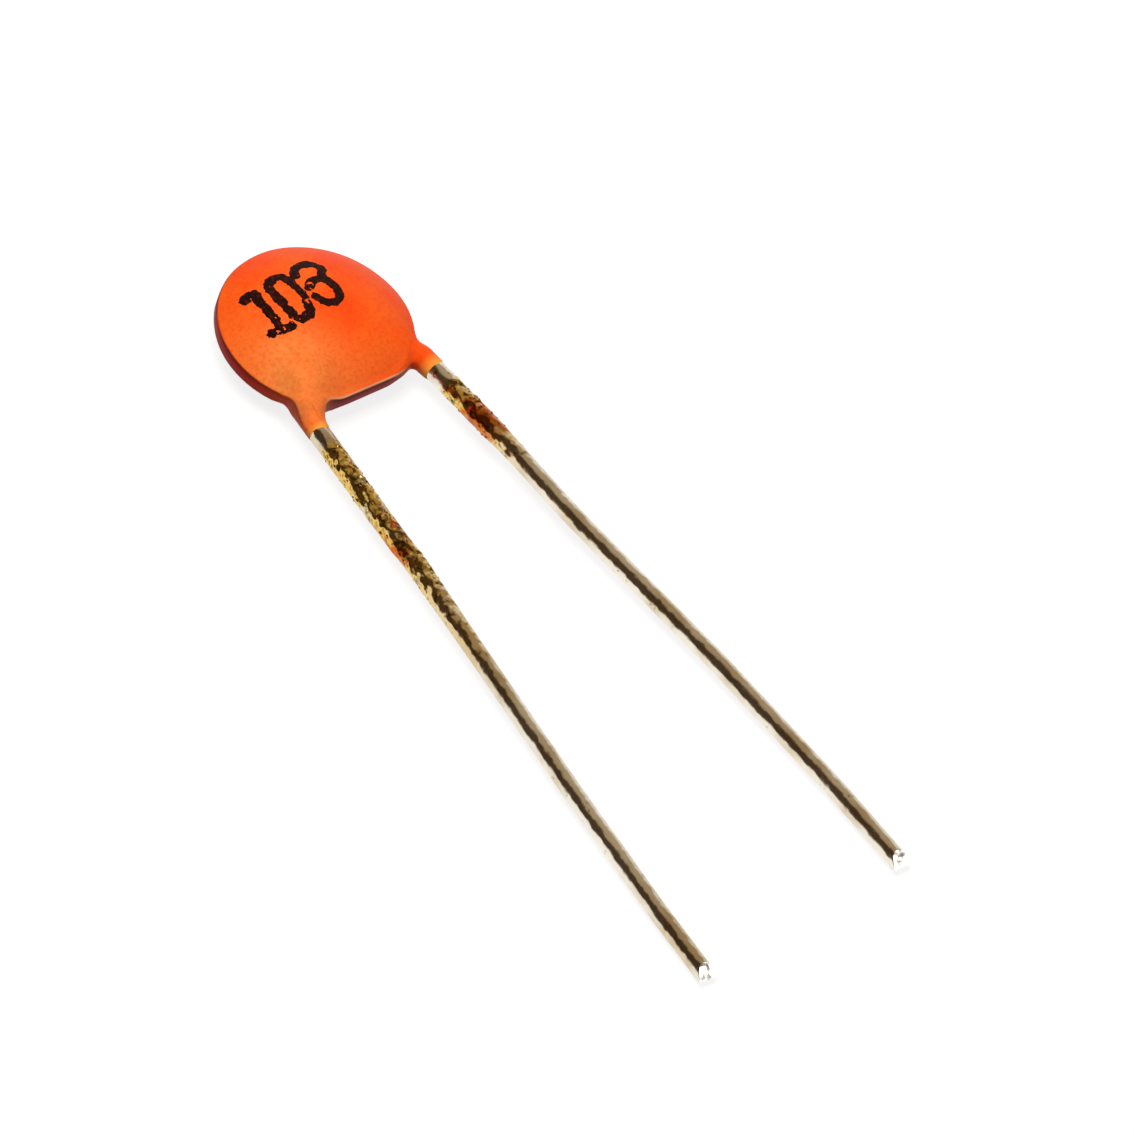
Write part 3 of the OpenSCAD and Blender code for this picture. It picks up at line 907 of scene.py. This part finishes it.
class CapacitorSizes(bpy.types.PropertyGroup):
    """Sizes of the part"""

    disc_d: length("Ceramic disc", "Diameter of the bare ceramic disc", 3.6)
    disc_t: length("Disc thickness", "Thickness of the ceramic disc", 0.25)
    electrode_t: length("Silver", "Thickness of the fired silver", 0.03)
    solder_film: length("Solder film", "Solder left under the wire", 0.03)
    lead_d: length("Wire", "Diameter of the tinned wire", 0.5)
    lead_pitch: length("Pitch", "Distance between the wires where they leave the disc", 3.75)
    lead_shift: length("Shift", "How far the pair of wires sits to the right", 0.1)
    left_length: length("Left length", "Left wire, from the end of the coat to its tip", 18.2)
    right_length: length("Right length", "Right wire, from the end of the coat to its tip", 17.8)
    lead_splay: angle("Splay", "Mean outward lean of each wire", 4.2)
    lead_inset: length("Inset", "How much closer together the wires lie on the disc, a side", 0.35)
    edge_gap: length("Edge gap", "Gap between the wire's bends and the disc's edge", 0.1)
    kink_r: length("Formed bends", "Radius of the bends inside the coat", 0.5)
    bow_r: length("Slack bends", "Radius of the bends along the free wire", 12.0)
    cut_angle: angle("Cut", "Half angle of the wedge on each tip", 35)
    slope_length: length("Cut slopes", "Most of a wire that its cut slopes take up", 0.6)
    seat_x: length("Seat across", "Soldered end of each wire, sideways from the middle", 0.35)
    seat_y: length("Seat up", "Soldered end of each wire, up the head", 0.25)
    coat_edge: length("Coat at the edge", "Coat outside the edge of the disc", 0.7)
    coat_film: length("Coat at the crown", "Coat over the soldered wires", 0.17)
    coat_foot: length("Coat at the foot", "Coat below the disc, down to the dip line", 0.36)
    rim_half: length("Half rim", "Half of the head's thickness at its rim", 0.2)
    rim_r: length("Rim rounding", "Rounding of the rim's two edges", 0.06)
    notch_web: length("Notch web", "Blend between the falls to the rim and the dip line", 0.8)
    foot_r: length("Foot rounding", "Rounding in plan where the rim meets the dip line", 0.3)
    leg_film: length("Leg film", "Coat round the wire on each leg", 0.05)
    left_run: length("Left run", "How far the coat runs down the left wire", 0.75)
    right_run: length("Right run", "How far the coat runs down the right wire", 0.4)
    swell_width: length("Swell", "Width of the soft swell over each wire, to each side", 1.1)
    outer_swell: number(
        "Outer swell", "Width of its outer side, as a multiple of the resin there", 1.25
    )
    left_fade: length("Left fade", "Length over which the left leg's edges turn round", 0.5)
    right_fade: length("Right fade", "Length over which the right leg's edges turn round", 0.9)
    fullness: number("Fullness", "2 for a lens, more for a flat face", 3.0)
    face_web: length("Face web", "Blend between a dome, the swells and the flat legs", 0.1)
    left_web: length("Left web", "Reach of the web at the left leg", 0.6)
    right_web: length("Right web", "Reach of the web at the right leg", 0.25)
    outer_web: length("Outer web", "Most that a web reaches on the outer side of its leg", 0.42)
    unevenness: length("Unevenness", "Slow unevenness of the dipped coat", 0.02)


class CapacitorLook(bpy.types.PropertyGroup):
    """Colours, ink and residue"""

    face: colour("Coat", "Colour of the dipped coat", "#FF4E0E")
    face_warm: colour("Coat, thick", "Colour where the resin gathers", "#FF681E")
    # Painted sheen: the face is paler towards one spot
    face_sheen: colour("Coat, drained", "Colour where the resin drained to one side", "#FF9E4C")
    face_deep: colour("Coat, mottle", "Colour of the fine mottle", "#EE3A06")
    # Painted shade: the wall round the rim is darker
    rim_painted_shade: colour("Coat, rim", "Colour of the wall round the rim", "#C01C10")
    # Painted shade: a dark line under the rim's upper edge
    rim_shade_line: colour("Coat, rim line", "Colour of the line under the upper edge", "#5A120A")
    # Painted highlight on the sharp edge between the legs
    edge_painted_highlight: colour("Coat, edge", "Colour of the film over the edge by the legs", "#F2B890")
    thin_film: colour("Coat, thin", "Colour of the thin film at the end of each leg", "#FFC850")
    ink: colour("Ink", "Colour of the printed code", "#1E0503")
    ink_thin: colour("Ink, thin", "Colour where the ink is thin", "#561408")
    tin: colour("Tin", "Colour of the tinned wire", "#F2EADA")
    tin_dull: colour("Tin, dulled", "Colour of dulled tin", "#D2BE9C")
    flux: colour("Flux", "Colour of baked flux", "#ECC468")
    flux_rust: colour("Flux, rusty", "Colour of the rusty patches", "#D06818")
    flux_burnt: colour("Flux, burnt", "Colour of burnt specks", "#553212")
    cut: colour("Cut", "Colour of the metal that the cutters broke", "#F4F0E6")
    rust_left: length("Left rust", "Middle of the left wire's rust, from the coat", 3.4)
    rust_right: length("Right rust", "Middle of the right wire's rust, from the coat", 1.7)
    stroke_width: length("Stroke", "Width of the code's strokes", 0.24)
    ink_film: length("Ink film", "Height of the ink above the coat", 0.008)
    residue_left: length("Left residue", "Reach of the residue down the left wire", 7.5)
    residue_right: length("Right residue", "Reach of the residue down the right wire", 3.2)
    residue_t: length("Residue", "Thickness of the residue", 0.035)
    lump_size: length("Lumps", "Size across of the lumps of residue", 0.5)
    bead_r: length("Beads", "Radius of the largest solder beads", 0.038)
    bead_density: number("Bead density", "Beads on a square millimetre of residue", 14.0)
    seed: IntProperty(name="Seed", description="Changes the lumps and beads of residue", default=4)


class CapacitorStage(bpy.types.PropertyGroup):
    """Floor, lamps and camera"""

    board: colour("Board", "Colour of the board that the part lies on", "#7A7A7A")
    board_tooth: colour("Board, tooth", "Colour of the board's faint tooth", "#A0A0A0")
    board_lit: colour("Board, lit", "Share of its white that a shadow takes away", "#7C7C7C")
    board_glow: number("Board glow", "White that the camera sees", 0.83)
    azimuth: angle("Azimuth", "Direction of the camera round the part", -49.724)
    elevation: angle("Elevation", "Height of the camera", 47.1)
    roll: angle("Roll", "Turn of the camera about its own axis", 17.58)
    frame_width: length("Frame", "Width of what the camera sees", 27.7004)
    aim_right: length("Aim right", "How far to the right of the origin the camera looks", 0.8651)
    aim_up: length("Aim up", "How far above the origin the camera looks", 1.0933)
    lamp: colour("Lamp", "Colour of the key lamp and the low card", "#FFFFFF")
    ceiling: colour("Ceiling", "Colour of the ceiling that the metal shows", "#DCC8A2")
    walls: colour("Walls", "Colour of the dim room", "#DDB48C")
    key: number("Key", "Brightness of the key lamp", 11.0)
    top: number("Top", "Brightness of the ceiling", 0.48)
    front: number("Front", "Brightness of the small card in front", 4.0)
    fill: number("Fill", "Brightness of the low card behind", 0.75)
    room: number("Room", "Brightness of the room", 0.085)


# ---- Operators


class CAPACITOR_OT_coat(bpy.types.Operator):
    """Makes the dipped coat"""

    bl_idname = "capacitor.coat"
    bl_label = "Dipped coat"

    def execute(self, context):
        form = Form(in_millimetres(context.scene.capacitor_sizes))
        rings, ends = coat_loft(form)
        points = np.vstack([rings.reshape(-1, 3), ends])
        coat = new_mesh_object("dipped_coat", form.laid(points), loft_faces(*rings.shape[:2]))
        for name, share in finish_places(form, points).items():
            attribute = coat.data.attributes.new(name, "FLOAT", "POINT")
            attribute.data.foreach_set("value", share.astype(np.float32))
        # Middle of the painted sheen on the face
        sheen_middle = Vector(form.laid([*SHEEN_MIDDLE, form.size.rim_half])) * MM
        set_material(coat, dipped_coat_material(context.scene.capacitor_look, sheen_middle))
        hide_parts("coating")
        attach(coat, "root")
        return {"FINISHED"}


class CAPACITOR_OT_marking(bpy.types.Operator):
    """Prints the value code on the coat"""

    bl_idname = "capacitor.marking"
    bl_label = "Value code"

    def execute(self, context):
        form = Form(in_millimetres(context.scene.capacitor_sizes))
        look = in_millimetres(context.scene.capacitor_look)
        x, y = np.meshgrid(*(np.arange(low, high, CODE_GRID) for low, high in CODE_AREA))
        flat, faces = cut_grid(x, y, ink_field(x, y, look.stroke_width / 2))
        n = len(flat)
        height = crossing(
            lambda z: form.skin(np.column_stack([flat, z])), np.zeros(n), 2 * form.crown
        )
        film = look.ink_film
        points = [np.column_stack([flat, z]) for z in (height + film, height - film)]
        edges = {(a, b) for face in faces for a, b in zip(face, face[1:] + face[:1])}
        walls = [(b, a, a + n, b + n) for a, b in edges if (b, a) not in edges]
        under = [[k + n for k in reversed(face)] for face in faces]
        ink = new_mesh_object("code_ink", form.laid(np.vstack(points)), faces + walls + under)
        set_material(ink, ink_material(context.scene.capacitor_look))
        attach(ink, "root")
        return {"FINISHED"}


class CAPACITOR_OT_leads(bpy.types.Operator):
    """Makes the two tinned wires"""

    bl_idname = "capacitor.leads"
    bl_label = "Tinned wires"

    def execute(self, context):
        size = in_millimetres(context.scene.capacitor_sizes)
        look = in_millimetres(context.scene.capacitor_look)
        form = Form(size)
        tree = wire_tree()
        axis = form.laid([[0, 0, 1]])[0] - form.laid([[0, 0, 0]])[0]
        for side, reach in ((LEFT, look.residue_left), (RIGHT, look.residue_right)):
            name = f"wire_{SIDE_NAMES[side]}"
            route, coated, free = wire_route(form, side, f"{name}_route")
            wire = run_tree(route, tree, {
                "Wire diameter": size.lead_d * MM,
                "Coated length": coated * MM,
                "Free length": free * MM,
                "Residue thickness": look.residue_t * MM,
                "Residue reach": reach * MM,
                "Lump size": look.lump_size * MM,
                "Slope length": size.slope_length * MM,
                "Slope ratio": 1 / math.tan(size.cut_angle),
                "Bead radius": look.bead_r * MM,
                "Bead density": look.bead_density / MM**2,
                "Slope axis": tuple(float(c) for c in axis),
                "Seed": look.seed + side,
                "Finish": tinned_wire_material(context.scene.capacitor_look, side, reach),
            }, name)
            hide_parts(f"lead_{SIDE_NAMES[side]}")
            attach(wire, "root")
        return {"FINISHED"}


def wire_route(form, side, name):
    """The curve along a wire's middle, and the lengths in millimetres of its coated and its
    free part."""
    points = form.route(side)
    radii = [form.size.kink_r] * 3 + [form.size.bow_r] * (len(points) - 3)
    path = np.array(bent_path(points, radii, WIRE_STEP))
    travelled = np.append(0, np.cumsum(norm(np.diff(path, axis=0))))
    coated = travelled[norm(path - form.coat_end(side)).argmin()]
    start = path[0] + unit(path[0] - path[1]) * END_RUN
    end = path[-1] + unit(path[-1] - path[-2]) * END_RUN
    path = form.laid(np.vstack([start, path, end])) * MM
    data = bpy.data.curves.new(name, "CURVE")
    data.dimensions = "3D"
    data.twist_mode = "Z_UP"
    spline = data.splines.new("POLY")
    spline.points.add(len(path) - 1)
    for point, at in zip(spline.points, path):
        point.co = (*at, 1)
    spline.points[0].radius = spline.points[-1].radius = 0
    return new_object(name, data), float(coated), float(travelled[-1] - coated)


class CAPACITOR_OT_sealed_pieces(bpy.types.Operator):
    """Gives the pieces inside the coat their finishes"""

    bl_idname = "capacitor.sealed_pieces"
    bl_label = "Sealed pieces"

    def execute(self, context):
        for nodes, *finish in (
            # Fired titanate ceramic: fine dense grain, dull
            (("ceramic_disc",), "fired_titanate_ceramic", "#D9C9A8", "#B9A680", 0.05, 0.0, 0.6),
            # Silver paste, screened and fired: matt and slightly open
            (("front_electrode", "back_electrode"),
             "fired_silver_paste", "#D2D2CC", "#ABABA4", 0.04, 1.0, 0.45),
            # Tin-lead solder, frozen smooth with a soft frosting
            (("front_solder", "back_solder"),
             "soft_solder", "#B9BCBF", "#94979A", 0.2, 1.0, 0.3),
        ):
            material = sealed_material(*finish)
            for node in nodes:
                set_material(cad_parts[node], material)
        return {"FINISHED"}


class CAPACITOR_OT_stage(bpy.types.Operator):
    """Sets up the board, the lamps and the camera"""

    bl_idname = "capacitor.stage"
    bl_label = "Stage"

    def execute(self, context):
        scene, stage = context.scene, context.scene.capacitor_stage
        mesh = bpy.data.meshes.new("board")
        corners = np.array([(-1, -1, 0), (1, -1, 0), (1, 1, 0), (-1, 1, 0)]) * BOARD_HALF
        mesh.from_pydata(corners, [], [(0, 1, 2, 3)])
        board = new_object("board", mesh)
        set_material(board, floor_material(stage))

        # A key lamp that only lights, and three cards that the metal and the coat also show: a
        # ceiling above and behind the part, a small card before its tips, and a low one behind
        add_lamp("key_lamp", (-0.11, 0.03, 0.41), (0.22, 0.22), stage.key, stage.lamp, False)
        add_lamp("ceiling_card", (0.20, 0.17, 0.48), (0.62, 0.62), stage.top, stage.ceiling)
        add_lamp("front_card", (0.26, -0.27, 0.33), (0.13, 0.13), stage.front, stage.lamp)
        add_lamp("low_card", (0.50, 0.42, 0.18), (0.80, 0.34), stage.fill, stage.lamp)

        # A dim room, which the camera sees as white
        scene.world = bpy.data.worlds.new("studio")
        scene.world.use_nodes = True
        scene.world.node_tree.nodes.clear()
        add = partial(add_node, scene.world.node_tree)
        room, white = (
            add("ShaderNodeBackground", {"Color": tint, "Strength": strength})
            for tint, strength in ((stage.walls, stage.room), (stage.lamp, 1.0))
        )
        seen = add("ShaderNodeLightPath").outputs["Is Camera Ray"]
        both = add("ShaderNodeMixShader", [seen, room, white])
        add("ShaderNodeOutputWorld", {"Surface": both})

        scene.camera = new_camera(in_millimetres(stage))
        scene.view_settings.view_transform = "Standard"
        return {"FINISHED"}


def add_lamp(name, place, size, brightness, tint, shows=True):
    """A rectangular lamp aimed at the part, as bright as a white card lit to that level."""
    data = bpy.data.lights.new(name, "AREA")
    data.shape = "RECTANGLE"
    data.size, data.size_y = size
    data.color = tint
    data.energy = brightness * math.pi * size[0] * size[1]
    lamp = new_object(name, data)
    lamp.location = place
    lamp.rotation_euler = Vector(place).to_track_quat("Z", "Y").to_euler()
    lamp.visible_camera = False
    lamp.visible_glossy = shows


def new_camera(stage):
    """A long lens with no visible perspective, turned about its own axis."""
    a, e, r = stage.azimuth, stage.elevation, stage.roll
    level = Vector((math.cos(a), math.sin(a), 0))
    back = Vector((math.sin(a) * math.cos(e), -math.cos(a) * math.cos(e), math.sin(e)))
    upright = back.cross(level)
    right = level * math.cos(r) + upright * math.sin(r)
    up = upright * math.cos(r) - level * math.sin(r)
    data = bpy.data.cameras.new("camera")
    data.type = "ORTHO"
    data.ortho_scale = stage.frame_width * MM
    data.clip_start, data.clip_end = CAMERA_CLIP
    camera = new_object("camera", data)
    place = back * CAMERA_BACK + (right * stage.aim_right + up * stage.aim_up) * MM
    turn = Matrix((right, up, back)).transposed().to_4x4()
    camera.matrix_world = Matrix.Translation(place) @ turn
    return camera


class CAPACITOR_PT_panel(bpy.types.Panel):
    """Lists the pieces and their settings"""

    bl_idname = "CAPACITOR_PT_panel"
    bl_label = "Ceramic disc capacitor"
    bl_space_type = "VIEW_3D"
    bl_region_type = "UI"
    bl_category = "Capacitor"

    def draw(self, context):
        for operator in OPERATORS:
            self.layout.operator(operator.bl_idname)
        for group in GROUPS:
            box = self.layout.box()
            settings = getattr(context.scene, group)
            for key in setting_names(settings):
                box.prop(settings, key)


OPERATORS = (
    CAPACITOR_OT_stage,
    CAPACITOR_OT_coat,
    CAPACITOR_OT_marking,
    CAPACITOR_OT_leads,
    CAPACITOR_OT_sealed_pieces,
)
GROUPS = {
    "capacitor_sizes": CapacitorSizes,
    "capacitor_look": CapacitorLook,
    "capacitor_stage": CapacitorStage,
}
CLASSES = (*GROUPS.values(), *OPERATORS, CAPACITOR_PT_panel)


def register():
    for cls in CLASSES:
        bpy.utils.register_class(cls)
    for name, group in GROUPS.items():
        setattr(bpy.types.Scene, name, PointerProperty(type=group))


def unregister():
    for name in GROUPS:
        delattr(bpy.types.Scene, name)
    for cls in reversed(CLASSES):
        bpy.utils.unregister_class(cls)


def main():
    register()
    for operator in OPERATORS:
        family, action = operator.bl_idname.split(".")
        getattr(getattr(bpy.ops, family), action)()


if __name__ == "__main__":
    main()
